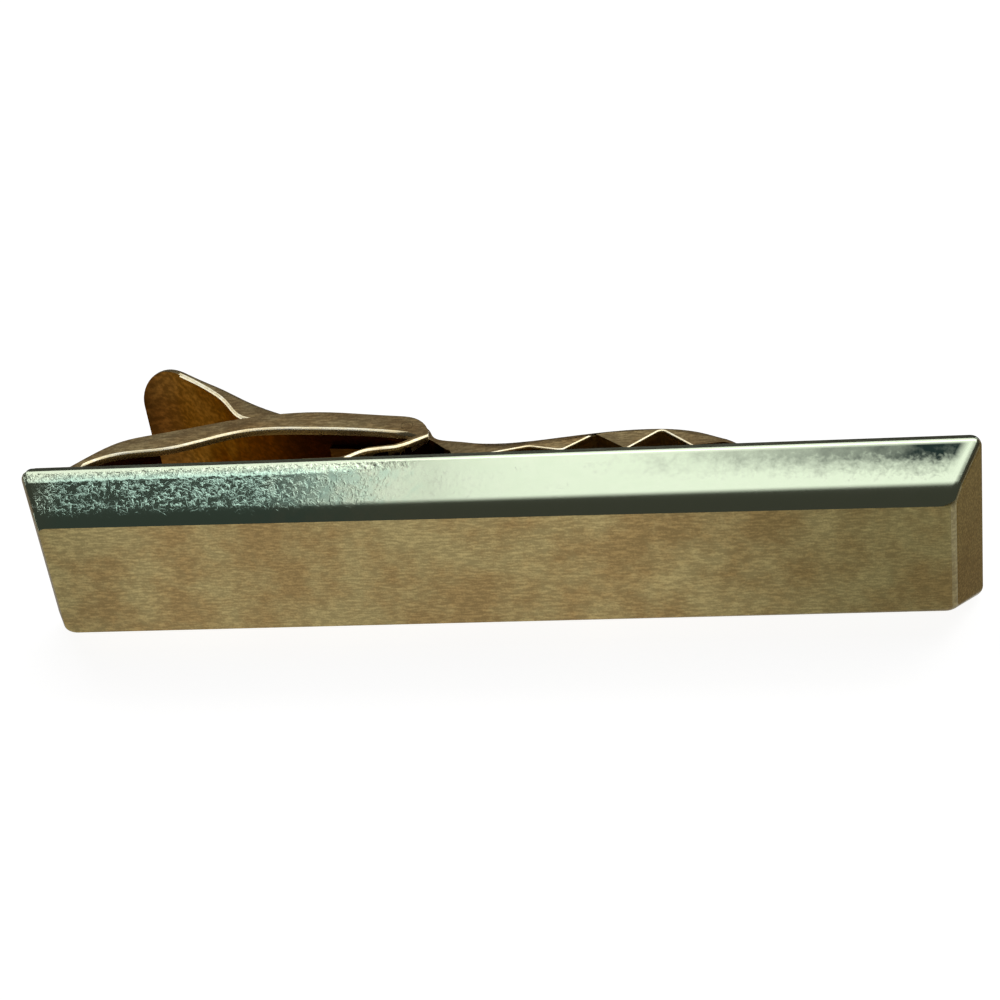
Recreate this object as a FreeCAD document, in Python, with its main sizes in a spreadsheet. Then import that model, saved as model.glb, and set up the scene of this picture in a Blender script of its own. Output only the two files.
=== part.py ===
"""Tie clip: a hollow drafted bar closed by a back plate, with a sprung jaw lever behind it.

X runs along the bar, Z across its width and Y from the front face to the clip behind.
The origin is the middle of the front face. Lengths are millimetres.
"""
import FreeCAD, Part
import math
import os

import Sketcher
from FreeCAD import Vector

os.makedirs("parts", exist_ok=True)
doc = FreeCAD.newDocument("tie_clip")

# Driving dimensions
SIZES = [
    ("bar_length", 57.0, "bar, end to end at its back"),
    ("bar_width", 11.6, "bar, across its back"),
    ("shell_depth", 3.8, "front face to the rim of the shell"),
    ("wall_run", 1.42, "how far each wall leans out from front to rim"),
    ("shell_wall", 0.6, "metal of the shell"),
    ("rim_corner", 0.8, "corner radius at the rim"),
    ("face_corner", 1.0, "corner radius at the front face"),
    ("face_edge", 0.8, "rounding between front face and walls"),
    ("plate_thickness", 0.3, "back plate"),
    ("plate_inset", 0.15, "back plate inside the rim's outline, all round"),
    ("plate_edge", 0.08, "rounding of the back plate's outer edge"),
    ("sheet", 0.4, "metal of the bracket and of the lever"),
    ("rail_inset", 0.45, "bracket's rails inside the rim's outline, each side"),
    ("bend_round", 0.25, "outside of the lever's bends"),
    ("side_gap", 0.08, "lever to rail, each side"),
    ("pin_place", -5.3, "pin's axis along the bar"),
    ("pin_height", 3.45, "pin's axis behind the plate"),
    ("pin_diameter", 0.7, "hinge pin"),
    ("pin_gap", 0.02, "pin to hole, radial"),
    ("rail_reach", 20.25, "pin to the bend of the bracket's left foot"),
    ("rail_crown", 5.25, "highest point of the rails behind the plate"),
    ("foot_length", 2.2, "soldered left foot"),
    ("foot_bend", 1.2, "length of the bend up from the left foot"),
    ("window_reach", 16.4, "pin to the left end of the window between the rails"),
    ("toe_reach", 1.42, "pin to the rounded right end of the rails"),
    ("strap_reach", 3.9, "pin to the bend of the strap's foot"),
    ("strap_foot", 2.0, "soldered foot of the strap"),
    ("strap_bow", 1.2, "height of the strap's bow under the pin"),
    ("tab_reach", 18.95, "pin to the end of the thumb tab"),
    ("tab_height", 12.3, "end of the thumb tab behind the plate"),
    ("tab_end_width", 3.8, "flat middle of the tab's rounded end"),
    ("tab_round", 5.6, "length of the tab's rounded end along the bar"),
    ("neck_reach", 5.7, "pin to the start of the tab's rise"),
    ("neck_slope", 0.105, "rise of the neck towards the tab, per millimetre"),
    ("ear_metal", 0.3, "metal of the lever's flange in front of the pin"),
    ("heel_reach", 3.3, "pin to the heel where the jaw's toothed edge starts"),
    ("flare_run", 2.3, "length over which the jaw widens past the rails"),
    ("jaw_reach", 21.0, "pin to the jaw's nose"),
    ("dip_reach", 4.45, "pin to the lowest point of the jaw's back"),
    ("jaw_inset", 0.1, "jaw's flange inside the rail's outer face, each side"),
    ("jaw_dip", 1.64, "lowest point of the jaw's back behind the plate"),
    ("jaw_crest", 2.46, "highest point of the jaw's back behind the plate"),
    ("nose_gap", 0.06, "closed jaw's nose to the plate"),
    ("nose_round", 2.0, "corner radius of the nose"),
    ("tooth_height", 0.9, "tooth tips behind the plate with the jaw closed"),
    ("tooth_pitch", 3.88, "tooth to tooth"),
    ("tooth_flat", 0.3, "flat tip of a tooth"),
    ("first_tooth", 5.65, "pin to the first tooth"),
    ("notch_count", 3, "notches between the teeth"),
    ("notch_round", 0.2, "half width of a notch's rounded root"),
    ("spring_gauge", 0.25, "leaf of the spring"),
    ("spring_width", 6.4, "spring, across"),
    ("spring_gap", 0.06, "spring's bend to the pin"),
    ("seat_gap", 0.03, "spring's legs to what they press on"),
    ("spring_reach", 5.3, "pin to the end of the spring's upper leg"),
    ("spring_angle", 25.0, "lean of the spring's lower leg, degrees"),
]
sheet = doc.addObject("Spreadsheet::Sheet", "Sizes")
for row, (alias, value, meaning) in enumerate(SIZES, start=1):
    sheet.set("A%d" % row, meaning)
    sheet.set("B%d" % row, str(value))
    sheet.setAlias("B%d" % row, alias)
width_row = len(SIZES) + 1
sheet.set("A%d" % width_row, "over the bracket's two rails")
sheet.set("B%d" % width_row, "=bar_width - 2 * rail_inset")
sheet.setAlias("B%d" % width_row, "bracket_width")
doc.recompute()


def size(alias):
    """One driving dimension, read from the sheet."""
    return float(sheet.get(alias))


# Derived places
back = size("shell_depth") + size("plate_thickness")
rail_half = size("bracket_width") / 2
rail_inside = rail_half - size("sheet")
lever_half = rail_inside - size("side_gap")
jaw_half = rail_half - size("jaw_inset")
pin_radius = size("pin_diameter") / 2
hole_radius = pin_radius + size("pin_gap")
pin_x = size("pin_place")
pin_y = back + size("pin_height")
far = size("bar_length")


# Sketch helpers
def behind(x, height):
    """A point of a side view: x along the bar, height behind the back plate."""
    return Vector(x, back + height, 0)


def from_pin(reach, height):
    """A point of a side view, reached to the right of the pin's axis."""
    return behind(pin_x + reach, height)


def curve(points, start=None, end=None):
    """A smooth curve through a few points, with end directions where they matter."""
    spline = Part.BSplineCurve()
    if start is None:
        spline.interpolate(Points=points)
    else:
        ends = [Vector(way).normalize() for way in (start, end)]
        spline.interpolate(Points=points, InitialTangent=ends[0], FinalTangent=ends[1], Scale=False)
    return spline


def shifted(points, distance, start, end):
    """The points moved square to the curve through them, to the right of its run."""
    spline = curve(points, start, end)
    moved = []
    for point in points:
        run = spline.tangent(spline.parameter(point))[0]
        moved.append(point + Vector(run.y, -run.x, 0) * distance)
    return moved


def lines(points):
    """Straight edges through the points."""
    return [Part.LineSegment(a, b) for a, b in zip(points[:-1], points[1:])]


def new_body(name):
    """An empty body with its label."""
    body = doc.addObject("PartDesign::Body", name)
    body.Label = name
    return body


def new_sketch(body, name, role, offset=None):
    """A sketch on one of the body's own planes, moved along that plane's normal by an expression."""
    plane = [item for item in body.Origin.OriginFeatures if item.Role == role][0]
    sketch = body.newObject("Sketcher::SketchObject", name)
    sketch.AttachmentSupport = (plane, [""])
    sketch.MapMode = "FlatFace"
    if offset:
        sketch.setExpression("AttachmentOffset.Base.z", offset)
    return sketch


def outline(body, name, role, edges):
    """A sketch that holds a closed run of edges."""
    sketch = new_sketch(body, name, role)
    for edge in edges:
        sketch.addGeometry(edge, False)
    return sketch


def rounded_rectangle(body, name, offset, length, width, radius):
    """A centred rectangle with round corners in the XZ plane, sized by three expressions."""
    sketch = new_sketch(body, name, "XZ_Plane", offset)
    half_x, half_z, corner = far / 2, far / 8, far / 60
    inner_x, inner_z = half_x - corner, half_z - corner
    straight = [
        ((-inner_x, -half_z), (inner_x, -half_z)),
        ((half_x, -inner_z), (half_x, inner_z)),
        ((inner_x, half_z), (-inner_x, half_z)),
        ((-half_x, inner_z), (-half_x, -inner_z)),
    ]
    for (ax, az), (bx, bz) in straight:
        sketch.addGeometry(Part.LineSegment(Vector(ax, az, 0), Vector(bx, bz, 0)), False)
    quarter = math.pi / 2
    centres = [(inner_x, -inner_z, 3), (inner_x, inner_z, 0), (-inner_x, inner_z, 1), (-inner_x, -inner_z, 2)]
    for cx, cz, turn in centres:
        circle = Part.Circle(Vector(cx, cz, 0), Vector(0, 0, 1), corner)
        sketch.addGeometry(Part.ArcOfCircle(circle, turn * quarter, (turn + 1) * quarter), False)
    for side in range(4):
        arc = 4 + side
        sketch.addConstraint(Sketcher.Constraint("Tangent", side, 2, arc, 1))
        sketch.addConstraint(Sketcher.Constraint("Tangent", arc, 2, (side + 1) % 4, 1))
        sketch.addConstraint(Sketcher.Constraint("Vertical" if side % 2 else "Horizontal", side))
    for arc in range(5, 8):
        sketch.addConstraint(Sketcher.Constraint("Equal", 4, arc))
    sketch.addConstraint(Sketcher.Constraint("Symmetric", 0, 1, 2, 1, -1, 1))
    bound = [
        (Sketcher.Constraint("DistanceX", 3, 1, 1, 1, 2 * half_x), length),
        (Sketcher.Constraint("DistanceY", 0, 1, 2, 1, 2 * half_z), width),
        (Sketcher.Constraint("Radius", 4, corner), radius),
    ]
    for constraint, expression in bound:
        index = sketch.addConstraint(constraint)
        sketch.setExpression("Constraints[%d]" % index, expression)
    return sketch


def pad(body, name, sketch, length):
    """Metal on both sides of the sketch, as wide in all as the expression says."""
    feature = body.newObject("PartDesign::Pad", name)
    feature.Profile = sketch
    feature.SideType = "Symmetric"
    feature.setExpression("Length", length)
    doc.recompute()
    return feature


def pocket(body, name, sketch, length):
    """A cut on both sides of the sketch, as wide in all as the expression says."""
    before = body.Shape.Volume
    feature = body.newObject("PartDesign::Pocket", name)
    feature.Profile = sketch
    feature.SideType = "Symmetric"
    feature.setExpression("Length", length)
    doc.recompute()
    if body.Shape.Volume >= before:
        raise RuntimeError(name + " cuts nothing")
    return feature


def round_edges(body, name, radius, chosen):
    """A fillet on the edges of the body that the test picks."""
    base = body.Tip
    names = ["Edge%d" % (i + 1) for i, edge in enumerate(base.Shape.Edges) if chosen(edge)]
    feature = body.newObject("PartDesign::Fillet", name)
    feature.Base = (base, names)
    feature.setExpression("Radius", radius)
    doc.recompute()
    return feature


def flat_at(height):
    """A test for edges that lie all along at one distance from the front face."""
    return lambda edge: all(abs(v.Y - height) < 1e-4 for v in edge.Vertexes)


def pin_hole(body, name, width):
    """The hole for the hinge pin, through the whole width."""
    sketch = new_sketch(body, name + "_circle", "XY_Plane")
    sketch.addGeometry(Part.Circle(Vector(pin_x, pin_y, 0), Vector(0, 0, 1), hole_radius), False)
    return pocket(body, name, sketch, width)


# Bar shell: stamped box with four leaning walls, open at the back
def bar_shell():
    body = new_body("bar_shell")
    rim = rounded_rectangle(
        body, "rim", "-Sizes.shell_depth", "Sizes.bar_length", "Sizes.bar_width", "Sizes.rim_corner")
    face = rounded_rectangle(
        body, "face", "0", "Sizes.bar_length - 2 * Sizes.wall_run",
        "Sizes.bar_width - 2 * Sizes.wall_run", "Sizes.face_corner")
    loft = body.newObject("PartDesign::AdditiveLoft", "stamping")
    loft.Profile = rim
    loft.Sections = [face]
    loft.Ruled = True
    doc.recompute()
    round_edges(body, "face_rounding", "Sizes.face_edge", flat_at(0))
    before = body.Shape.Volume
    lean = "2 * Sizes.wall_run * Sizes.shell_wall / Sizes.shell_depth"
    inner_rim = rounded_rectangle(
        body, "inner_rim", "-Sizes.shell_depth", "Sizes.bar_length - 2 * Sizes.shell_wall",
        "Sizes.bar_width - 2 * Sizes.shell_wall", "Sizes.rim_corner - Sizes.shell_wall / 2")
    inner_face = rounded_rectangle(
        body, "inner_face", "-Sizes.shell_wall",
        "Sizes.bar_length - 2 * Sizes.wall_run - 2 * Sizes.shell_wall + " + lean,
        "Sizes.bar_width - 2 * Sizes.wall_run - 2 * Sizes.shell_wall + " + lean,
        "Sizes.face_corner - Sizes.shell_wall / 2")
    hollow = body.newObject("PartDesign::SubtractiveLoft", "hollow")
    hollow.Profile = inner_rim
    hollow.Sections = [inner_face]
    hollow.Ruled = True
    doc.recompute()
    if body.Shape.Volume >= before:
        raise RuntimeError("the shell stayed solid")
    return body


# Back plate: flat sheet that closes the shell and carries the clip
def back_plate():
    body = new_body("back_plate")
    sheet_outline = rounded_rectangle(
        body, "plate_outline", "-Sizes.shell_depth - Sizes.plate_thickness / 2",
        "Sizes.bar_length - 2 * Sizes.plate_inset", "Sizes.bar_width - 2 * Sizes.plate_inset",
        "Sizes.rim_corner - Sizes.plate_inset")
    pad(body, "plate_sheet", sheet_outline, "Sizes.plate_thickness")
    round_edges(body, "plate_rounding", "Sizes.plate_edge", flat_at(back))
    return body


# Hinge bracket: folded strip with a soldered foot at each end and two rails that hold the pin
def hinge_bracket():
    body = new_body("hinge_bracket")
    metal = size("sheet")
    reach = size("rail_reach")
    crown = size("rail_crown")
    toe = size("toe_reach")
    pin_up = size("pin_height")
    bend = -reach
    foot_end = bend - size("foot_length")
    rail_top = [
        from_pin(bend, metal),
        from_pin(bend + size("foot_bend"), 0.325 * crown),
        from_pin(-0.873 * reach, 0.54 * crown),
        from_pin(-0.759 * reach, 0.68 * crown),
        from_pin(-0.506 * reach, 0.933 * crown),
        from_pin(-0.283 * reach, crown),
        from_pin(-0.05 * reach, pin_up + 0.21 * crown),
        from_pin(0.3 * toe, pin_up + 0.137 * crown),
        from_pin(0.8 * toe, pin_up - 0.01 * crown),
        from_pin(toe, pin_up - 0.229 * crown),
    ]
    toe_tip = rail_top[-1]
    toe_inside = from_pin(toe - 1.5 * metal, pin_up - 0.2 * crown)
    bend_inside = bend + 1.125 * metal
    under_bend = from_pin(bend_inside, 0)
    under_web = from_pin(bend + size("foot_bend"), 0.145 * crown)
    rail_under = [
        under_bend,
        under_web,
        from_pin(-0.866 * reach, 0.28 * crown),
        from_pin(-0.727 * reach, 0.35 * crown),
        from_pin(-0.508 * reach, 0.645 * crown),
        from_pin(-0.334 * reach, 0.668 * crown),
        from_pin(-0.04 * reach, pin_up - 0.13 * crown),
        toe_inside,
    ]
    foot = [under_bend, from_pin(foot_end, 0), from_pin(foot_end, metal), rail_top[0]]
    side = lines(foot)
    side.append(curve(rail_top))
    side += lines([toe_tip, toe_inside])
    side.append(curve(rail_under))
    pad(body, "rails", outline(body, "rail_side", "XY_Plane", side), "Sizes.bracket_width")

    window = -size("window_reach")
    web_curve = curve(rail_top)
    window_top = from_pin(window, 2 * crown)
    web_hit = web_curve.intersect(Part.LineSegment(from_pin(window, 0), window_top))[0]
    web_end = Vector(web_hit.X, web_hit.Y, 0)
    web_run = web_curve.tangent(web_curve.parameter(web_end))[0]
    web_under = web_end + Vector(web_run.y, -web_run.x, 0) * metal
    inside = [curve([under_bend, under_web, web_under])]
    inside += lines([
        web_under, from_pin(window + 0.6 * metal, 2 * crown), from_pin(far, 2 * crown),
        from_pin(far, -crown), from_pin(bend_inside, -crown), under_bend,
    ])
    pocket(body, "window", outline(body, "window_side", "XY_Plane", inside),
           "Sizes.bracket_width - 2 * Sizes.sheet")

    strap_bend = -size("strap_reach")
    strap_end = strap_bend - size("strap_foot")
    bow = size("strap_bow")
    strap_low = [
        toe_tip,
        from_pin(0.08 * strap_bend, bow),
        from_pin(0.59 * strap_bend, 0.71 * bow),
        from_pin(strap_bend, 0),
    ]
    strap_high = [
        toe_inside + Vector(0.25, 0.3, 0) * metal,
        from_pin(0.08 * strap_bend, bow + metal),
        from_pin(0.56 * strap_bend, 0.71 * bow + metal),
        from_pin(strap_bend, metal),
    ]
    leave = Vector(-1, -0.7, 0)
    level = Vector(-1, 0, 0)
    strap = [curve(strap_low, leave, level)]
    strap += lines([strap_low[-1], from_pin(strap_end, 0), from_pin(strap_end, metal), strap_high[-1]])
    strap.append(curve(strap_high, leave, level))
    strap += lines([strap_high[0], toe_tip])
    pad(body, "strap", outline(body, "strap_side", "XY_Plane", strap), "Sizes.bracket_width")
    pin_hole(body, "bracket_hole", "2 * Sizes.bracket_width")
    return body


# Jaw lever: one stamped channel with a leaf-shaped thumb tab and a toothed jaw
def jaw_lever():
    body = new_body("jaw_lever")
    metal = size("sheet")
    over_pin = pin_radius + size("spring_gap") + size("spring_gauge") + size("seat_gap") + metal
    neck_top = size("pin_height") + over_pin
    neck = size("neck_reach")
    neck_end = neck_top + neck * size("neck_slope")
    rise = size("tab_height") - neck_end
    run = size("tab_reach") - neck
    reach = size("jaw_reach")
    dip, crest = size("jaw_dip"), size("jaw_crest")
    dip_at = size("dip_reach")
    drop = neck_top - dip

    def tab(along, up):
        return from_pin(-neck - along * run, neck_end + up * rise)

    tab_run = [
        tab(1, 1),
        tab(0.844, 0.960),
        tab(0.695, 0.778),
        tab(0.535, 0.572),
        tab(0.363, 0.325),
        tab(0.203, 0.139),
        tab(0, 0),
    ]
    jaw_run = [
        from_pin(0, neck_top),
        from_pin(1.13 * over_pin, dip + 0.72 * drop),
        from_pin(1.5 * over_pin, dip + 0.42 * drop),
        from_pin(0.63 * dip_at, dip + 0.16 * drop),
        from_pin(dip_at, dip),
        from_pin(0.435 * reach, 0.7 * dip + 0.3 * crest),
        from_pin(0.665 * reach, crest),
        from_pin(0.837 * reach, 0.79 * crest),
        from_pin(0.923 * reach, 0.43 * crest),
        from_pin(reach, size("nose_gap") + metal),
    ]
    neck_way = Vector(1, -size("neck_slope"), 0)
    tab_way = Vector(1, -0.15, 0)
    nose_way = Vector(1, -0.35, 0)
    tab_under = shifted(tab_run, metal, tab_way, neck_way)
    jaw_under = shifted(jaw_run, metal, neck_way, nose_way)
    jaw_curve = curve(jaw_run, neck_way, nose_way)
    web = [curve(tab_run, tab_way, neck_way)] + lines([tab_run[-1], jaw_run[0]]) + [jaw_curve]

    def back_at(x):
        """Height of the jaw's back behind the plate, at a place along the bar."""
        upright = Part.LineSegment(behind(x, -crest), behind(x, 2 * size("tab_height")))
        return jaw_curve.intersect(upright)[0].Y - back

    tip = size("tooth_height")
    flat = size("tooth_flat") / 2
    pitch = size("tooth_pitch")
    first = pin_x + size("first_tooth")
    notches = int(size("notch_count"))
    teeth = [first + pitch * number for number in range(notches + 1)]
    heel = size("heel_reach")
    round_half = size("notch_round")
    edge = lines([from_pin(heel, tip), behind(teeth[0] + flat, tip)])
    for left, right in zip(teeth[:-1], teeth[1:]):
        middle = (left + right) / 2
        root = back_at(middle) - 0.75 * metal
        half = pitch / 2 - flat
        slope = math.atan2(root - tip, half)
        shoulder = root - round_half * math.tan(slope)
        top = shoulder + round_half / math.sin(slope) * (1 - math.cos(slope))
        start, stop = behind(left + flat, tip), behind(right - flat, tip)
        low_left, low_right = behind(middle - round_half, shoulder), behind(middle + round_half, shoulder)
        edge += lines([start, low_left])
        edge.append(Part.Arc(low_left, behind(middle, top), low_right))
        edge += lines([low_right, stop, behind(right + flat, tip)])
    edge += lines([behind(teeth[-1] + flat, tip), jaw_under[-2], jaw_under[-1], jaw_run[-1]])

    pin_up = size("pin_height")
    ear = pin_up - pin_radius - size("ear_metal")
    flange = [
        from_pin(heel, tip),
        from_pin(0.64 * heel, 0.55 * pin_up),
        from_pin(0.485 * heel, 0.71 * pin_up),
        from_pin(0.24 * heel, ear),
        from_pin(0, ear),
        from_pin(-0.175 * neck, 0.93 * pin_up),
        from_pin(-0.475 * neck, 1.085 * pin_up),
        from_pin(-neck, neck_end - 2.1 * metal),
        tab(0.24, 0.02),
        tab(0.38, 0.08),
        tab(0.485, 0.32),
        tab(0.606, 0.56),
        tab(0.731, 0.745),
        tab_under[1],
        tab_under[0],
    ]
    side = web + edge[::-1] + [curve(flange)] + lines([tab_under[0], tab_run[0]])
    pad(body, "lever_block", outline(body, "lever_side", "XY_Plane", side),
        "Sizes.bracket_width - 2 * Sizes.jaw_inset")

    under_curve = curve(jaw_under, neck_way, nose_way)
    step = jaw_under[4]
    step_at = under_curve.parameter(step)
    neck_under = under_curve.copy()
    neck_under.segment(under_curve.FirstParameter, step_at)
    trough_under = under_curve.copy()
    trough_under.segment(step_at, under_curve.LastParameter)
    channel = [curve(tab_under, tab_way, neck_way)] + lines([tab_under[-1], jaw_under[0]]) + [neck_under]
    channel += lines([step, behind(step.x, -crest), from_pin(-far, -crest), tab_under[0]])
    pocket(body, "neck_channel", outline(body, "neck_channel_side", "XY_Plane", channel),
           "Sizes.bracket_width - 4 * Sizes.sheet - 2 * Sizes.side_gap")
    trough = [trough_under]
    trough += lines([jaw_under[-1], from_pin(far, -crest), behind(step.x, -crest), step])
    pocket(body, "jaw_channel", outline(body, "jaw_channel_side", "XY_Plane", trough),
           "Sizes.bracket_width - 2 * Sizes.jaw_inset - 2 * Sizes.sheet")

    tab_end, nose = pin_x - size("tab_reach"), pin_x + reach
    tab_flat = size("tab_end_width") / 2
    tab_side = lever_half - tab_flat
    flare_start = pin_x + size("toe_reach") + metal
    flare_stop = flare_start + size("flare_run")
    corner = size("nose_round")

    def along_web(edge):
        """Whether an edge runs along the outside of the bend between the lever's web and a flange."""
        middle = edge.valueAt((edge.FirstParameter + edge.LastParameter) / 2)
        level = Vector(middle.x, middle.y, 0)
        on_side = abs(abs(middle.z) - lever_half) < 1e-3 or abs(abs(middle.z) - jaw_half) < 1e-3
        nearest = min(piece.toShape().distToShape(Part.Vertex(level))[0] for piece in web)
        return on_side and nearest < 1e-3

    def plan(x, across):
        """A point of the plan view, in the sketch's own two directions."""
        return Vector(x, across, 0)

    def half_plan(side):
        """One long side of the plan, from the tab's end to the nose."""
        leaf = [
            plan(tab_end, side * tab_flat),
            plan(tab_end + 0.16 * size("tab_round"), side * (tab_flat + 0.70 * tab_side)),
            plan(tab_end + 0.39 * size("tab_round"), side * (tab_flat + 0.94 * tab_side)),
            plan(tab_end + size("tab_round"), side * lever_half),
        ]
        corner_mid = corner * (1 - math.sqrt(0.5))
        straight = [
            leaf[-1], plan(flare_start, side * lever_half), plan(flare_stop, side * jaw_half),
            plan(nose - corner, side * jaw_half),
        ]
        run = [curve(leaf, Vector(0, side, 0), Vector(1, 0, 0))] + lines(straight)
        run.append(Part.Arc(
            straight[-1], plan(nose - corner_mid, side * (jaw_half - corner_mid)),
            plan(nose, side * (jaw_half - corner))))
        return run

    trim = half_plan(1) + half_plan(-1)
    trim += lines([plan(nose, corner - jaw_half), plan(nose, jaw_half - corner)])
    trim += lines([plan(tab_end, -tab_flat), plan(tab_end, tab_flat)])
    around = [plan(-far, -far), plan(far, -far), plan(far, far), plan(-far, far), plan(-far, -far)]
    trim += lines(around)
    pocket(body, "plan_trim", outline(body, "plan_outline", "XZ_Plane", trim), "4 * Sizes.bar_length")
    round_edges(body, "bend_rounding", "Sizes.bend_round", along_web)
    pin_hole(body, "lever_hole", "2 * Sizes.bracket_width")
    return body


# Hairpin spring: folded leaf round the pin, one leg under the lever and one on the strap's foot
def hairpin_spring():
    body = new_body("hairpin_spring")
    gauge = size("spring_gauge")
    inner = pin_radius + size("spring_gap")
    outer = inner + gauge
    axis = behind(pin_x, size("pin_height"))
    up_slope = math.atan(size("neck_slope"))
    down_slope = math.radians(size("spring_angle"))
    up_normal = Vector(math.sin(up_slope), math.cos(up_slope), 0)
    up_run = Vector(-math.cos(up_slope), math.sin(up_slope), 0)
    down_normal = Vector(math.sin(down_slope), -math.cos(down_slope), 0)
    down_run = Vector(-math.cos(down_slope), -math.sin(down_slope), 0)
    seat = back + size("sheet") + size("seat_gap")
    down_length = ((axis + down_normal * outer).y - seat) / math.sin(down_slope)
    up_length = size("spring_reach")
    right = Vector(1, 0, 0)
    outer_up, inner_up = axis + up_normal * outer, axis + up_normal * inner
    outer_down, inner_down = axis + down_normal * outer, axis + down_normal * inner
    side = [
        Part.LineSegment(outer_up + up_run * up_length, outer_up),
        Part.Arc(outer_up, axis + right * outer, outer_down),
        Part.LineSegment(outer_down, outer_down + down_run * down_length),
        Part.LineSegment(outer_down + down_run * down_length, inner_down + down_run * down_length),
        Part.LineSegment(inner_down + down_run * down_length, inner_down),
        Part.Arc(inner_down, axis + right * inner, inner_up),
        Part.LineSegment(inner_up, inner_up + up_run * up_length),
        Part.LineSegment(inner_up + up_run * up_length, outer_up + up_run * up_length),
    ]
    pad(body, "leaf", outline(body, "leaf_side", "XY_Plane", side), "Sizes.spring_width")
    return body


# Hinge pin: wire pressed in and filed flush with the outside of both rails
def hinge_pin():
    body = new_body("hinge_pin")
    sketch = new_sketch(body, "pin_circle", "XY_Plane")
    sketch.addGeometry(Part.Circle(Vector(pin_x, pin_y, 0), Vector(0, 0, 1), pin_radius), False)
    pad(body, "pin_wire", sketch, "Sizes.bracket_width")
    return body


pieces = [bar_shell(), back_plate(), hinge_bracket(), jaw_lever(), hairpin_spring(), hinge_pin()]
doc.recompute()

# Every object has to be sound before anything is written
for item in doc.Objects:
    if "Invalid" in item.State or "Error" in item.State:
        raise RuntimeError("failed: " + item.Name)
for piece in pieces:
    shape = piece.Shape
    if shape.isNull() or not shape.isValid() or len(shape.Solids) != 1:
        raise RuntimeError("bad shape: %s, solids %d" % (piece.Label, len(shape.Solids)))
for piece in pieces:
    piece.Shape.exportStep("parts/%s.step" % piece.Label)
    box = piece.Shape.BoundBox
    print("%-16s %8.2f mm3  x %.2f..%.2f  y %.2f..%.2f  z %.2f..%.2f" % (
        piece.Label, piece.Shape.Volume, box.XMin, box.XMax, box.YMin, box.YMax, box.ZMin, box.ZMax))
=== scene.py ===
import math

import bpy
from mathutils import Matrix, Vector


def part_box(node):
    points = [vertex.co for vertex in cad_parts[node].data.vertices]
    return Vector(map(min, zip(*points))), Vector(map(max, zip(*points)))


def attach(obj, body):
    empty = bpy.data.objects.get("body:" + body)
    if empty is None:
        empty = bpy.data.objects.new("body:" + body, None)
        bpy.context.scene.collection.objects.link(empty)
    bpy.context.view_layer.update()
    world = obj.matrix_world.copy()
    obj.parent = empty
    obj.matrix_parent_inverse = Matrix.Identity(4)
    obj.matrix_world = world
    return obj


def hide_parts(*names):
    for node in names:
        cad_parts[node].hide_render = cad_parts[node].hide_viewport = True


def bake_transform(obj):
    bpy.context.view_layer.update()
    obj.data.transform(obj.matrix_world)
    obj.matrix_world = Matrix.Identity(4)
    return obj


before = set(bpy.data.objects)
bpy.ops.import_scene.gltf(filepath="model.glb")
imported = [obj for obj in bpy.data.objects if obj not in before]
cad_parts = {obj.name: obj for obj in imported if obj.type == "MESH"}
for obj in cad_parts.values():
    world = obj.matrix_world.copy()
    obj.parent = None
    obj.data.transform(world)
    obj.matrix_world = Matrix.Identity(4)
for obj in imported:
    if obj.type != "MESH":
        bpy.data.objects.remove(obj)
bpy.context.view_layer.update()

# Bar shell
# The bar is pressed from brass sheet and gold plated: a flat front and four leaning walls, open behind.
# The top wall is buffed bright and rolled over to the front. The front is brushed flat after that, a little
# deeper at the left, so the two finishes meet in a crisp line. The ends and the bottom are brushed too.
mm = 0.001
shell_low, shell_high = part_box("bar_shell")
half_length = shell_high.x
half_width = shell_high.z
shell_depth = shell_high.y
shell_metal = 0.6 * mm
# The side of the bar that each pair of the rim's corners is on, up or down, and the corners' radius.
rim_corners = ((1, 0.5 * mm), (-1, 0.75 * mm))
corner_steps = 8
rim_roll = 0.6 * mm
rim_roll_stop = math.radians(-15)
roll_steps = 10
# The pressing runs on past the front, and brushing takes that off, just inside the front of the CAD's box.
front_overrun = 0.05 * mm
front_clearance = 0.001 * mm
brushed_off = 0.19 * mm
crease = math.radians(17)
# For each wall: how far its front edge stands inside the rim, the radius that rolls it over to the front, and
# the angle at which that roll meets the front, where a right angle is smooth.
top_wall = (2.15 * mm, 2.2 * mm, math.radians(62))
bottom_wall = (2.2 * mm, 0.54 * mm, math.radians(88))
end_wall = (2.15 * mm, 0.6 * mm, math.radians(88))


def roll_of(wall):
    """The lean of a wall's straight part, and the middle of its roll as depth and inset."""
    inset, roll, stop = wall
    middle = Vector((roll * math.sin(stop), inset + roll * math.cos(stop)))
    away = Vector((shell_depth - middle.x, middle.y))
    lean = math.acos(roll / away.length) - math.atan2(away.x, away.y)
    return lean, middle


def inset_at(depth, wall):
    """How far a wall stands inside the rim's outline at a depth from the front."""
    roll = wall[1]
    lean, middle = roll_of(wall)
    if depth < middle.x - roll * math.sin(lean):
        return middle.y - math.sqrt(max(0, roll ** 2 - (depth - middle.x) ** 2))
    rim_middle = shell_depth + rim_roll * math.sin(rim_roll_stop)
    if depth > rim_middle - rim_roll * math.sin(lean):
        straight = (shell_depth - rim_middle) * math.tan(lean) + rim_roll / math.cos(lean)
        return straight - math.sqrt(rim_roll ** 2 - (depth - rim_middle) ** 2)
    return (shell_depth - depth) * math.tan(lean)


def ring_at(depth):
    """Half length, half width and middle of the bar's outline at a depth from the front."""
    top = half_width - inset_at(depth, top_wall)
    bottom = inset_at(depth, bottom_wall) - half_width
    return half_length - inset_at(depth, end_wall), (top - bottom) / 2, (top + bottom) / 2


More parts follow.
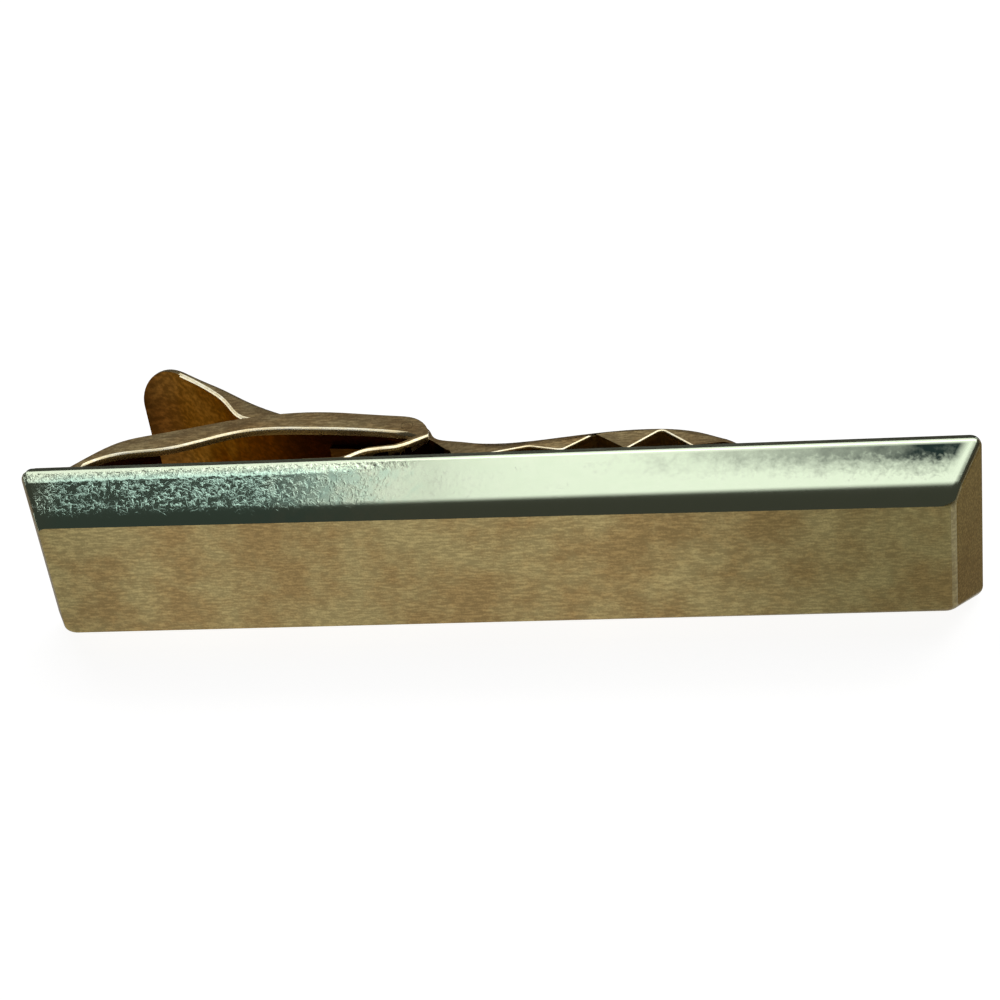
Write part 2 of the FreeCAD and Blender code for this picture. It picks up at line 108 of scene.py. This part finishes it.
def select_where(piece, kind, rule):
    """Selects only what meets a rule in the active piece, and stays in edit mode.
    Kind is VERT, EDGE or FACE."""
    bpy.ops.object.mode_set(mode="EDIT")
    bpy.ops.mesh.select_mode(type=kind)
    bpy.ops.mesh.select_all(action="DESELECT")
    bpy.ops.object.mode_set(mode="OBJECT")
    mesh = piece.data
    for element in {"VERT": mesh.vertices, "EDGE": mesh.edges, "FACE": mesh.polygons}[kind]:
        element.select = rule(element)
    bpy.ops.object.mode_set(mode="EDIT")


depths = []
for wall in (top_wall, bottom_wall, end_wall):
    lean, middle = roll_of(wall)
    turns = [lean + (wall[2] - lean) * step / roll_steps for step in range(roll_steps)]
    depths += [middle.x - wall[1] * math.sin(turn) for turn in turns]
end_lean = roll_of(end_wall)[0]
rim_turns = [end_lean + (rim_roll_stop - end_lean) * step / roll_steps for step in range(roll_steps + 1)]
depths += [shell_depth + rim_roll * (math.sin(rim_roll_stop) - math.sin(turn)) for turn in rim_turns]
depths = sorted(depths, reverse=True) + [-front_overrun]

bpy.ops.object.select_all(action="DESELECT")
bpy.ops.mesh.primitive_plane_add(size=2, location=(0, shell_depth, 0), rotation=(math.pi / 2, 0, 0))
bar = bpy.context.object
bar.name = "bar_pressing"
long, wide, centre = ring_at(depths[0])
bar.scale = (long, wide, 1)
bar.location.z = centre
bpy.ops.object.transform_apply(location=True, rotation=True, scale=True)
for side, corner in rim_corners:
    select_where(bar, "VERT", lambda vertex: vertex.co.z * side > 0)
    bpy.ops.mesh.bevel(offset=corner, segments=corner_steps, affect="VERTICES")
bpy.ops.mesh.select_all(action="SELECT")
level = depths[0]
for depth in depths[1:]:
    next_long, next_wide, next_centre = ring_at(depth)
    step = (0, depth - level, next_centre - centre)
    bpy.ops.mesh.extrude_region_move(TRANSFORM_OT_translate={"value": step})
    bpy.ops.transform.resize(
        value=(next_long / long, 1, next_wide / wide), center_override=(0, 0, next_centre))
    level, long, wide, centre = depth, next_long, next_wide, next_centre
front_end = half_length - end_wall[0]
bpy.ops.mesh.select_all(action="SELECT")
bpy.ops.mesh.bisect(
    plane_co=(front_end, front_clearance, 0), plane_no=(brushed_off / (2 * front_end), 1, 0),
    use_fill=True, clear_inner=True, threshold=front_clearance / 10)
# The face that the pressing was drawn out of is taken away, which leaves the back open.
select_where(bar, "FACE", lambda face: face.normal.y > 0.9)
bpy.ops.mesh.delete(type="FACE")
bpy.ops.object.mode_set(mode="OBJECT")
metal_wall = bar.modifiers.new("metal", "SOLIDIFY")
metal_wall.thickness = shell_metal
metal_wall.offset = -1
bpy.ops.object.modifier_apply(modifier=metal_wall.name)
bpy.ops.object.shade_smooth_by_angle(angle=crease)
flat_faces = bar.modifiers.new("flat faces", "WEIGHTED_NORMAL")
flat_faces.keep_sharp = True
bpy.ops.object.modifier_apply(modifier=flat_faces.name)


def linear(hex_colour):
    """An sRGB hex colour as linear red, green, blue and full alpha."""
    parts = [int(hex_colour[i:i + 2], 16) / 255 for i in (1, 3, 5)]
    return [c / 12.92 if c <= 0.04045 else ((c + 0.055) / 1.055) ** 2.4 for c in parts] + [1]


def add(material, kind, inputs, **settings):
    """Adds one node to a material, with its settings, and fills its inputs with values or links."""
    tree = material.node_tree
    made = tree.nodes.new(kind)
    for name, value in settings.items():
        setattr(made, name, value)
    for key, value in inputs.items():
        if isinstance(value, bpy.types.NodeSocket):
            tree.links.new(value, made.inputs[key])
        else:
            made.inputs[key].default_value = value
    return made


def new_material(name):
    """An empty node material and the two ends every metal here shares: object coordinates and the shader."""
    material = bpy.data.materials.new(name)
    material.use_nodes = True
    material.node_tree.nodes.clear()
    coords = add(material, "ShaderNodeTexCoord", {}).outputs["Object"]
    shader = add(material, "ShaderNodeBsdfPrincipled", {"Metallic": 1})
    add(material, "ShaderNodeOutputMaterial", {"Surface": shader.outputs["BSDF"]})
    return material, coords, shader


def satin_metal(name, light, dark, warm, dull, grain, film=(20 * mm, 40 * mm), film_axis="X",
                rough=0.42, glance="#FFFFFF"):
    """Satin metal: light flecks of a length and width lie along the bar on an even ground with fine grit, and
    vary in colour, gloss and height. Wide patches are warmer, and a dull film grows between two places along
    an axis; on the bar's front and on the clip's inside that film is painted shade. The bar's left end is a
    little dull too. Glance tints the metal where it is seen edge on."""
    fleck_length, fleck_width = grain
    patch_size = 5 * mm
    film_drift = 10 * mm
    left_film = (-20 * mm, -26 * mm)
    fleck_height = 0.008 * mm
    material, coords, shader = new_material(name)
    link = material.node_tree.links.new
    fleck_place = add(material, "ShaderNodeMapping", {
        "Vector": coords, "Scale": (1 / fleck_length, 1 / fleck_width, 1 / fleck_width)})
    fleck = add(material, "ShaderNodeTexNoise", {
        "Vector": fleck_place.outputs["Vector"], "Scale": 1, "Detail": 2, "Roughness": 0.5})
    grit = add(material, "ShaderNodeTexNoise", {
        "Vector": coords, "Scale": 1 / (0.8 * fleck_width), "Detail": 2, "Roughness": 0.6})
    patch = add(material, "ShaderNodeTexNoise", {
        "Vector": coords, "Scale": 1 / patch_size, "Detail": 5, "Roughness": 0.65})
    brushed = add(material, "ShaderNodeMath", {
        0: grit.outputs["Fac"], 1: 0.6, 2: fleck.outputs["Fac"]}, operation="MULTIPLY_ADD")
    tone = add(material, "ShaderNodeMapRange", {
        "Value": brushed.outputs["Value"], "From Min": 0.7, "From Max": 1.05})
    gold = add(material, "ShaderNodeMix", {
        "Factor": tone.outputs["Result"], "A": linear(dark), "B": linear(light)}, data_type="RGBA")
    along = add(material, "ShaderNodeSeparateXYZ", {"Vector": coords})
    warmth = add(material, "ShaderNodeMapRange", {
        "Value": patch.outputs["Fac"], "From Min": 0.42, "From Max": 0.6, "To Max": 0.75})
    tinted = add(material, "ShaderNodeMix", {
        "Factor": warmth.outputs["Result"], "A": gold.outputs["Result"], "B": linear(warm)},
        data_type="RGBA", blend_type="MULTIPLY")
    drift = add(material, "ShaderNodeMath", {
        0: patch.outputs["Fac"], 1: film_drift, 2: along.outputs[film_axis]}, operation="MULTIPLY_ADD")
    filmed = add(material, "ShaderNodeMapRange", {
        "Value": drift.outputs["Value"], "From Min": film[0], "From Max": film[1]},
        interpolation_type="SMOOTHSTEP")
    left_end = add(material, "ShaderNodeMapRange", {
        "Value": along.outputs["X"], "From Min": left_film[0], "From Max": left_film[1], "To Max": 0.5})
    films = add(material, "ShaderNodeMath", {
        0: filmed.outputs["Result"], 1: left_end.outputs["Result"]}, operation="MAXIMUM")
    colour = add(material, "ShaderNodeMix", {
        "Factor": films.outputs["Value"], "A": tinted.outputs["Result"], "B": linear(dull)},
        data_type="RGBA", blend_type="MULTIPLY")
    gloss = add(material, "ShaderNodeMapRange", {
        "Value": tone.outputs["Result"], "To Min": rough + 0.03, "To Max": rough - 0.08})
    height = add(material, "ShaderNodeBump", {
        "Height": tone.outputs["Result"], "Strength": 0.2, "Distance": fleck_height})
    link(colour.outputs["Result"], shader.inputs["Base Color"])
    link(gloss.outputs["Result"], shader.inputs["Roughness"])
    link(height.outputs["Normal"], shader.inputs["Normal"])
    shader.inputs["Specular Tint"].default_value = linear(glance)
    return material


# Brushed gold scatters the room into a soft, even sheen with short streaks. The front's dull film towards the
# right is painted shade, where the light falls off across it. The ends are painted darker and browner as
# shade, and the turn from the front to an end is painted pale as a highlight.
brush_marks = (0.6 * mm, 0.14 * mm)
turn_marks = (0.3 * mm, 0.2 * mm)
end_film = (30 * mm, 40 * mm)
bar_satin = satin_metal("gold plate, brushed satin", "#B3A16E", "#96875C", "#E8D4C8", "#C4C8C2",
                        brush_marks, film=(10 * mm, 29 * mm))
# A darker, browner copy of the brushed plate: painted shade for the faces that turn to the ends.
end_satin_painted_shade = satin_metal("gold plate, brushed satin, painted shade", "#766439", "#5A4C2C", "#ECDCD0", "#E0E0DC",
                        brush_marks, film=end_film, glance="#D8D0C0")
# A paler copy of the brushed plate: a painted highlight on the rounded turn from the front to an end.
turn_satin_painted_highlight = satin_metal("gold plate, brushed satin, painted highlight", "#948A64", "#7E7454", "#F0E8E0", "#E0E4E0",
                         turn_marks, film=end_film)

# Buffed plate shows the room like a mirror. Handling has left short scratches and cloudy rubbed spots in it,
# thickest at the left and thin on the roll, that scatter light. A stain spreads under the rim at the right.
# Real scratches are finer than they are drawn here, and would not show in the render.
cloud_size = 1.2 * mm
speck_size = 0.3 * mm
# Scratches of four kinds: their turn in degrees, and their length and width.
scratch_kinds = ((25, 0.6 * mm, 0.1 * mm), (-40, 0.5 * mm, 0.09 * mm),
                 (75, 0.5 * mm, 0.1 * mm), (-5, 0.9 * mm, 0.08 * mm))
left_edge = (-27.5 * mm, -25.5 * mm)
worn_range = (2 * mm, -6 * mm)
rim_range = (3.05 * mm, 3.8 * mm)
roll_range = (0.4 * mm, 1.4 * mm)
rounded_range = (-3 * mm, -14 * mm)
rounded_height = 0.15 * mm
scratch_height = 0.035 * mm
stain_range = (14 * mm, 34 * mm)
stain_lower = (3.3 * mm, 4.7 * mm)
stain_upper = (3.45 * mm, 3.3 * mm)
stain_stop = (25.9 * mm, 25.3 * mm)
mitre_lean = -0.55
bar_bright, coords, shader = new_material("gold-toned nickel plate, buffed and scratched")
link = bar_bright.node_tree.links.new
place = add(bar_bright, "ShaderNodeSeparateXYZ", {"Vector": coords})
cloud = add(bar_bright, "ShaderNodeTexNoise", {
    "Vector": coords, "Scale": 1 / cloud_size, "Detail": 5, "Roughness": 0.65})
speck = add(bar_bright, "ShaderNodeTexNoise", {
    "Vector": coords, "Scale": 1 / speck_size, "Detail": 3, "Roughness": 0.6, "Distortion": 0.4})
marks = add(bar_bright, "ShaderNodeMapRange", {
    "Value": speck.outputs["Fac"], "From Min": 0.5, "From Max": 0.78}).outputs["Result"]
for turn, length, width in scratch_kinds:
    turned = add(bar_bright, "ShaderNodeMapping", {
        "Vector": coords, "Rotation": (0, 0, math.radians(turn)), "Location": (turn * mm, 0, 0)})
    drawn = add(bar_bright, "ShaderNodeMapping", {
        "Vector": turned.outputs["Vector"], "Scale": (1 / length, 1 / width, 1 / length)})
    scratch = add(bar_bright, "ShaderNodeTexNoise", {
        "Vector": drawn.outputs["Vector"], "Scale": 1, "Detail": 1, "Roughness": 0.5})
    stroke = add(bar_bright, "ShaderNodeMapRange", {
        "Value": scratch.outputs["Fac"], "From Min": 0.68, "From Max": 0.78})
    marks = add(bar_bright, "ShaderNodeMath", {
        0: marks, 1: stroke.outputs["Result"]}, operation="MAXIMUM").outputs["Value"]
rubbed = add(bar_bright, "ShaderNodeMapRange", {
    "Value": cloud.outputs["Fac"], "From Min": 0.4, "From Max": 0.6, "To Min": 0.12})
ends = add(bar_bright, "ShaderNodeMapRange", {
    "Value": place.outputs["X"], "From Min": left_edge[0], "From Max": left_edge[1], "To Min": 0.35})
worn_place = add(bar_bright, "ShaderNodeMath", {
    0: cloud.outputs["Fac"], 1: 14 * mm, 2: place.outputs["X"]}, operation="MULTIPLY_ADD")
worn_left = add(bar_bright, "ShaderNodeMapRange", {
    "Value": worn_place.outputs["Value"], "From Min": worn_range[0], "From Max": worn_range[1],
    "To Min": 0.05})
worn = add(bar_bright, "ShaderNodeMath", {
    0: worn_left.outputs["Result"], 1: ends.outputs["Result"]}, operation="MULTIPLY")
rim_up = add(bar_bright, "ShaderNodeMath", {
    0: speck.outputs["Fac"], 1: 0.5 * mm, 2: place.outputs["Y"]}, operation="MULTIPLY_ADD")
rim_turn = add(bar_bright, "ShaderNodeMapRange", {
    "Value": rim_up.outputs["Value"], "From Min": rim_range[0], "From Max": rim_range[1],
    "To Min": 1, "To Max": 0}, interpolation_type="SMOOTHSTEP")
rim_worn = add(bar_bright, "ShaderNodeMath", {
    0: rim_turn.outputs["Result"], 1: worn.outputs["Value"]}, operation="MULTIPLY")
above_roll = add(bar_bright, "ShaderNodeMapRange", {
    "Value": place.outputs["Y"], "From Min": roll_range[0], "From Max": roll_range[1], "To Min": 0.1})
marked = marks
for part in (rim_worn.outputs["Value"], rubbed.outputs["Result"], above_roll.outputs["Result"]):
    marked = add(bar_bright, "ShaderNodeMath", {0: marked, 1: part}, operation="MULTIPLY").outputs["Value"]
stain_along = add(bar_bright, "ShaderNodeMapRange", {
    "Value": worn_place.outputs["Value"], "From Min": stain_range[0], "From Max": stain_range[1]})
stain_rises = ((place.outputs["X"], 0.03), (cloud.outputs["Fac"], 1.2 * mm), (speck.outputs["Fac"], 1.2 * mm))
stain_up = place.outputs["Y"]
for cause, rise in stain_rises:
    stain_up = add(bar_bright, "ShaderNodeMath", {
        0: cause, 1: rise, 2: stain_up}, operation="MULTIPLY_ADD").outputs["Value"]
stain_low = add(bar_bright, "ShaderNodeMapRange", {
    "Value": stain_up, "From Min": stain_lower[0], "From Max": stain_lower[1]})
stain_high = add(bar_bright, "ShaderNodeMapRange", {
    "Value": place.outputs["Y"], "From Min": stain_upper[0], "From Max": stain_upper[1]})
mitre = add(bar_bright, "ShaderNodeMath", {
    0: place.outputs["Y"], 1: mitre_lean, 2: place.outputs["X"]}, operation="MULTIPLY_ADD")
stain_end = add(bar_bright, "ShaderNodeMapRange", {
    "Value": mitre.outputs["Value"], "From Min": stain_stop[0], "From Max": stain_stop[1]})
stain = stain_along.outputs["Result"]
for part in (stain_low, stain_high, stain_end):
    stain = add(bar_bright, "ShaderNodeMath", {
        0: stain, 1: part.outputs["Result"]}, operation="MULTIPLY").outputs["Value"]
plate_tone = add(bar_bright, "ShaderNodeMix", {
    "Factor": cloud.outputs["Fac"], "A": linear("#E6F6D6"), "B": linear("#F4FFE4")}, data_type="RGBA")
worn_tone = add(bar_bright, "ShaderNodeMix", {
    "Factor": rim_worn.outputs["Value"], "A": plate_tone.outputs["Result"], "B": linear("#CCF2DE")},
    data_type="RGBA")
colour = add(bar_bright, "ShaderNodeMix", {
    "Factor": stain, "A": worn_tone.outputs["Result"], "B": linear("#24322F")}, data_type="RGBA")
haze = add(bar_bright, "ShaderNodeMath", {
    0: marked, 1: 0.4, 2: 0.15}, operation="MULTIPLY_ADD")
left_side = add(bar_bright, "ShaderNodeMapRange", {
    "Value": place.outputs["X"], "From Min": rounded_range[0], "From Max": rounded_range[1]},
    interpolation_type="SMOOTHSTEP")
rim_height = add(bar_bright, "ShaderNodeMath", {
    0: rim_turn.outputs["Result"], 1: left_side.outputs["Result"]}, operation="MULTIPLY")
rounded = add(bar_bright, "ShaderNodeBump", {
    "Height": rim_height.outputs["Value"], "Strength": 1, "Distance": rounded_height})
height = add(bar_bright, "ShaderNodeBump", {
    "Height": marked, "Strength": 0.8, "Distance": scratch_height, "Normal": rounded.outputs["Normal"]})
link(colour.outputs["Result"], shader.inputs["Base Color"])
link(haze.outputs["Value"], shader.inputs["Roughness"])
link(height.outputs["Normal"], shader.inputs["Normal"])

# The top wall is bright up to the mitre at each end, and the rest goes by how far a face turns to an end: the
# ends take the painted shade, and the turns between the front and the ends take the painted highlight.
bright_slot, end_slot, turn_slot = 1, 2, 3
for metal in (bar_satin, bar_bright, end_satin_painted_shade, turn_satin_painted_highlight):
    bar.data.materials.append(metal)
for face in bar.data.polygons:
    if face.normal.z > 0.43 and abs(face.normal.x) < 0.6:
        face.material_index = bright_slot
    elif abs(face.normal.x) > 0.8:
        face.material_index = end_slot
    elif abs(face.normal.x) > 0.25:
        face.material_index = turn_slot
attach(bar, "bar")
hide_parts("bar_shell")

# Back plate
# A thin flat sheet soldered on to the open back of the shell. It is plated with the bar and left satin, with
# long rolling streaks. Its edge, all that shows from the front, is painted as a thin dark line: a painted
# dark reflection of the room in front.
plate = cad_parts["back_plate"]
plate_satin = satin_metal("gold plate, rolled satin sheet", "#C4AC74", "#A48E5C", "#E8D6C8", "#D0D0CC",
                          (3 * mm, 0.2 * mm))
plate_edge_painted_dark = satin_metal("gold plate, edge with painted dark reflection", "#5C6052", "#464A3E", "#E8E0D4", "#D0D0CC",
                         (1 * mm, 0.1 * mm))
plate.data.materials.clear()
plate.data.materials.append(plate_satin)
plate.data.materials.append(plate_edge_painted_dark)
# The edge faces, which turn neither to the front nor to the back, take the painted dark reflection.
for face in plate.data.polygons:
    face.material_index = int(abs(face.normal.y) < 0.5)

# Hinge bracket
# One strip of brass, blanked and folded: a foot at each end is soldered to the plate and two rails between
# them hold the pin. The blanked edges in front are broken and worn, with a painted highlight, and the inside
# is painted brown as shade.
sheet = 0.4 * mm
pin_low, pin_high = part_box("hinge_pin")
pin_axis = (pin_low + pin_high) / 2
pin_clearance = 0.6 * mm
plate_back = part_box("back_plate")[1].y
plate_clearance = 0.15 * mm
rail_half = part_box("hinge_bracket")[1].z
rail_break = 0.24 * mm
nose_start = 13 * mm
merge_distance = 0.001 * mm

# Tumbled gold has a dull, grainy sheen with brown clouds. Its worn edges are painted near white as thin
# highlights, and the inside is painted a deep brown as shade, less dark only far behind the bar.
inside_marks = (0.6 * mm, 0.3 * mm)
clip_satin = satin_metal("gold plate, tumbled satin", "#9A8962", "#786848", "#E2CDB8", "#D8D8D4",
                         (0.5 * mm, 0.16 * mm))
# The worn edges are painted near white: a painted highlight on real wear.
edge_wear_and_highlight = satin_metal("gold plate, worn edge with painted highlight", "#FFFBE6", "#FAF0CC", "#FFF4E0", "#F0F0EC",
                          (0.8 * mm, 0.2 * mm), rough=0.28)
# The inside's deep brown, darker everywhere but far behind the bar, is painted shade.
clip_inside_painted_shade = satin_metal("gold plate, inside with painted shade", "#7C5624", "#5E4018", "#DCC8B0", "#A47A30",
                          inside_marks, film=(20 * mm, 16.5 * mm), film_axis="Y", glance="#E8CCB4")
edge_slot, inside_slot = 1, 2


def copy_of(node, name):
    """A copy of a CAD node as a mesh of whole faces, alone in the selection and active."""
    piece = bpy.data.objects.new(name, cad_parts[node].data.copy())
    bpy.context.collection.objects.link(piece)
    bpy.ops.object.select_all(action="DESELECT")
    piece.select_set(True)
    bpy.context.view_layer.objects.active = piece
    piece.data.materials.clear()
    bpy.ops.object.mode_set(mode="EDIT")
    bpy.ops.mesh.select_all(action="SELECT")
    bpy.ops.mesh.remove_doubles(threshold=merge_distance)
    bpy.ops.mesh.customdata_custom_splitnormals_clear()
    bpy.ops.mesh.dissolve_limited(angle_limit=math.radians(0.5))
    bpy.ops.object.mode_set(mode="OBJECT")
    return piece


def move_corners(piece, rule, by):
    """Moves the corners of the active piece that meet a rule."""
    select_where(piece, "VERT", rule)
    bpy.ops.transform.translate(value=by)
    bpy.ops.object.mode_set(mode="OBJECT")


def faces_sideways(normal):
    """Whether a face of a strip looks up or down across the bar."""
    return abs(normal.z) > 0.7


def break_edges(piece, start, stop, breadth):
    """Breaks the blanked edges in front of a strip's outer sides with two flat facets, between two places
    along the bar, but not round the pin or on the plate."""
    mesh = piece.data
    sides_of = {}
    for face in mesh.polygons:
        for key in face.edge_keys:
            sides_of.setdefault(key, []).append((face.normal.copy(), face.center.z))

    def blanked(edge):
        sides = sides_of[edge.key]
        outer = [z for normal, z in sides if faces_sideways(normal) and normal.z * z > 0]
        cut = [z for normal, z in sides if abs(normal.z) < 0.3 and normal.y < -0.1]
        middle = (mesh.vertices[edge.vertices[0]].co + mesh.vertices[edge.vertices[1]].co) / 2
        off_pin = (middle - pin_axis).xy.length > pin_clearance
        off_plate = middle.y > plate_back + plate_clearance
        return len(outer) == 1 and len(cut) == 1 and start < middle.x < stop and off_pin and off_plate

    select_where(piece, "EDGE", blanked)
    bpy.ops.mesh.bevel(offset=breadth, segments=2, affect="EDGES", clamp_overlap=False, material=edge_slot)
    bpy.ops.object.mode_set(mode="OBJECT")


def finish_strip(piece, flange_from, broken):
    """Gives a folded strip its three metals: satin outside, the inside painted brown as shade, and a painted
    highlight on the worn blanked edges of what stands further from the middle than flange_from, short of the
    jaw's nose. Then the edges are broken."""
    for metal in (clip_satin, edge_wear_and_highlight, clip_inside_painted_shade):
        piece.data.materials.append(metal)
    for face in piece.data.polygons:
        side = faces_sideways(face.normal)
        flange_edge = abs(face.center.z) > flange_from and face.center.x < nose_start and face.normal.y < 0.3
        if side and face.normal.z * face.center.z < 0:
            face.material_index = inside_slot
        elif not side and flange_edge:
            face.material_index = edge_slot
        elif not side and face.normal.y < -0.1:
            face.material_index = inside_slot
    for start, stop, breadth in broken:
        break_edges(piece, start, stop, breadth)
    bpy.ops.object.shade_smooth_by_angle(angle=math.radians(35))


# The end of the bracket's window reaches further in at its lower edge than the CAD's, so that no light shows
# under it from the front, as none does in the photo.
bracket = copy_of("hinge_bracket", "bracket_strip")
window_end_before = -15 * mm
window_lip = (0.8 * mm, 0.2 * mm, 0)
window_end = [face for face in bracket.data.polygons
              if face.normal.x > 0.9 and face.center.x < window_end_before
              and abs(face.center.z) < rail_half - sheet]
window_corners = {index for face in window_end for index in face.vertices}
lowest = min(bracket.data.vertices[index].co.y for index in window_corners)
low_corners = {index for index in window_corners
               if bracket.data.vertices[index].co.y < lowest + 0.05 * mm}
move_corners(bracket, lambda corner: corner.index in low_corners, window_lip)
finish_strip(bracket, rail_half - sheet, ((-half_length, half_length, rail_break),))
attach(bracket, "bar")
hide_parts("hinge_bracket")

# Hinge pin
# A short brass wire through the rails and the lever, filed flush at both ends and plated with the clip.
# It has the clip's own tumbled satin.
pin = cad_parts["hinge_pin"]
pin.data.materials.clear()
pin.data.materials.append(clip_satin)

# Hairpin spring
# A leaf of spring steel folded round the pin. Its upper leg presses under the lever and its lower leg stands
# on the strap's foot. Heat has left it a streaky brown.
spring_steel = satin_metal("spring steel, tempered brown", "#94682A", "#744E18", "#E0D0C0", "#D8D8D4",
                           (2 * mm, 0.15 * mm))
spring = copy_of("hairpin_spring", "spring_leaf")
spring.data.materials.append(spring_steel)
bpy.ops.object.shade_smooth_by_angle(angle=math.radians(30))
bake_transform(spring)
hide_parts("hairpin_spring")

# Jaw lever
# One brass stamping folded to a channel: a leaf-shaped thumb tab at the left, the ears on the pin, and a jaw
# with a toothed edge at the right. It is plated with the bracket, and its blanked edges are worn too, with a
# painted highlight.
# The tips of the teeth reach lower than the CAD's, to where the photo shows them.
tooth_start, tooth_stop = -2.3 * mm, 12.3 * mm
tooth_inside, tooth_outside = 4.8 * mm, 5.2 * mm
tooth_top_inside, tooth_top_outside = 5.1 * mm, 5.45 * mm
tooth_drop = (0, -0.4 * mm, 0)
jaw_start = -3 * mm
lever_flange = rail_half - 2.4 * sheet
# Where the lever's edges are broken along the bar, from the tab to the teeth, and how broad the facets are.
lever_breaks = ((-20.8 * mm, -6 * mm, 0.16 * mm), (0.2 * mm, 6.2 * mm, 0.12 * mm),
                (8.2 * mm, 11.9 * mm, 0.12 * mm))
# The inside of the jaw is painted a light, warm gold: painted light, for the light that reaches it between
# the teeth.
jaw_inside_painted_light = satin_metal("gold plate, inside of the jaw with painted light", "#E4C47A", "#C4A460", "#ECDCD0", "#E0E0DC",
                         inside_marks, film=end_film)
jaw_slot = 3


def tooth_tip(corner):
    """Whether a corner of the lever is at the tip of a tooth, on either side of the flange's metal."""
    across = abs(corner.co.z)
    top = tooth_top_outside if across > tooth_outside else tooth_top_inside
    return tooth_start < corner.co.x < tooth_stop and across > tooth_inside and corner.co.y < top


lever = copy_of("jaw_lever", "lever_stamping")
move_corners(lever, tooth_tip, tooth_drop)
finish_strip(lever, lever_flange, lever_breaks)
lever.data.materials.append(jaw_inside_painted_light)
# Inside faces past jaw_start take the painted light of the jaw's inside in place of the painted shade.
for face in lever.data.polygons:
    if face.material_index == edge_slot and abs(face.normal.z) < 0.2:
        face.material_index = inside_slot
    if face.material_index == inside_slot and face.center.x > jaw_start:
        face.material_index = jaw_slot
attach(lever, "lever")
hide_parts("jaw_lever")

# Floor, light and camera
# The clip stands on the long edge of its bar on a white table. A soft light hangs over it and fades towards
# the front, another stands behind it, and the room in front is dark.
floor_level = shell_low.z
floor_size = 4
floor_glow = 0.92
bpy.ops.object.select_all(action="DESELECT")
bpy.ops.mesh.primitive_plane_add(size=floor_size, location=(0, 0, floor_level))
floor = bpy.context.object
floor.name = "floor"
# White paint, lit so brightly that it is almost pure white to the eye and in the metal, with a faint shadow.
white = bpy.data.materials.new("white table")
white.use_nodes = True
white.node_tree.nodes.clear()
ray = add(white, "ShaderNodeLightPath", {})
seen = ray.outputs["Is Camera Ray"]
for kind in ("Is Glossy Ray", "Is Transmission Ray"):
    seen = add(white, "ShaderNodeMath", {
        0: seen, 1: ray.outputs[kind]}, operation="MAXIMUM").outputs["Value"]
paint = add(white, "ShaderNodeBsdfDiffuse", {"Color": linear("#A8A8A8")})
glow_level = add(white, "ShaderNodeMath", {0: seen, 1: floor_glow}, operation="MULTIPLY")
glow = add(white, "ShaderNodeEmission", {"Color": linear("#FFFFFF"), "Strength": glow_level.outputs["Value"]})
both = add(white, "ShaderNodeAddShader", {0: paint.outputs["BSDF"], 1: glow.outputs["Emission"]})
add(white, "ShaderNodeOutputMaterial", {"Surface": both.outputs["Shader"]})
floor.data.materials.append(white)

world = bpy.data.worlds.new("dim room")
bpy.context.scene.world = world
world.use_nodes = True
room = world.node_tree.nodes["Background"]
room.inputs["Color"].default_value = linear("#F8F4E4")
room.inputs["Strength"].default_value = 0.045


def soft_light(name, place, target, size_x, size_y, radiance):
    """A soft rectangular light that shines from a place to a target and looks equally bright all over."""
    data = bpy.data.lights.new(name, "AREA")
    data.shape = "RECTANGLE"
    data.size = size_x
    data.size_y = size_y
    data.energy = radiance * math.pi * size_x * size_y
    lamp = bpy.data.objects.new(name, data)
    lamp.location = place
    lamp.rotation_euler = (Vector(target) - Vector(place)).to_track_quat("-Z", "Y").to_euler()
    bpy.context.collection.objects.link(lamp)


# The overhead light is a row of strips from back to front: one wide one, and then narrow ones that fade out.
light_left, light_right, light_height = -66 * mm, 340 * mm, 300 * mm
light_back, fade_start, fade_stop = 200 * mm, 36 * mm, -50 * mm
fade_strips = 12
overhead_radiance = 0.95
fade_width = (fade_stop - fade_start) / fade_strips
light_edges = [fade_start + fade_width * strip for strip in range(fade_strips + 1)]
for strip, (back_edge, front_edge) in enumerate(zip([light_back] + light_edges, light_edges)):
    above = Vector(((light_left + light_right) / 2, (back_edge + front_edge) / 2, light_height))
    kept = 1 - strip / (fade_strips + 1)
    soft_light("overhead", above, (above.x, above.y, 0), light_right - light_left, back_edge - front_edge,
               overhead_radiance * kept ** 2 * (3 - 2 * kept))
back_place = (0, 360 * mm, 420 * mm)
back_width, back_height = 900 * mm, 400 * mm
back_radiance = 0.9
soft_light("back", back_place, (0, 0, 0), back_width, back_height, back_radiance)

# The camera comes from a fit to the bar's corners and edges in the photo.
camera_turn = math.radians(11.2)
camera_rise = math.radians(35.66)
camera_roll = math.radians(-8.47)
camera_distance = 145.9 * mm
camera_shift = (0.52 * mm, 4.15 * mm)
image_width = 1000
focal_pixels = 2498.9
toward = Vector((math.sin(camera_turn) * math.cos(camera_rise),
                 -math.cos(camera_turn) * math.cos(camera_rise), math.sin(camera_rise)))
level_right = (-toward).cross(Vector((0, 0, 1))).normalized()
level_up = level_right.cross(-toward)
right = level_right * math.cos(camera_roll) + level_up * math.sin(camera_roll)
up = level_up * math.cos(camera_roll) - level_right * math.sin(camera_roll)
camera_data = bpy.data.cameras.new("camera")
camera_data.sensor_width = 36
camera_data.lens = focal_pixels * camera_data.sensor_width / image_width
camera_data.clip_start = 10 * mm
camera = bpy.data.objects.new("camera", camera_data)
camera_place = toward * camera_distance + right * camera_shift[0] + up * camera_shift[1]
camera.matrix_world = Matrix.Translation(camera_place) @ Matrix((right, up, toward)).transposed().to_4x4()
bpy.context.collection.objects.link(camera)
bpy.context.scene.camera = camera
bpy.context.scene.view_settings.view_transform = "Standard"
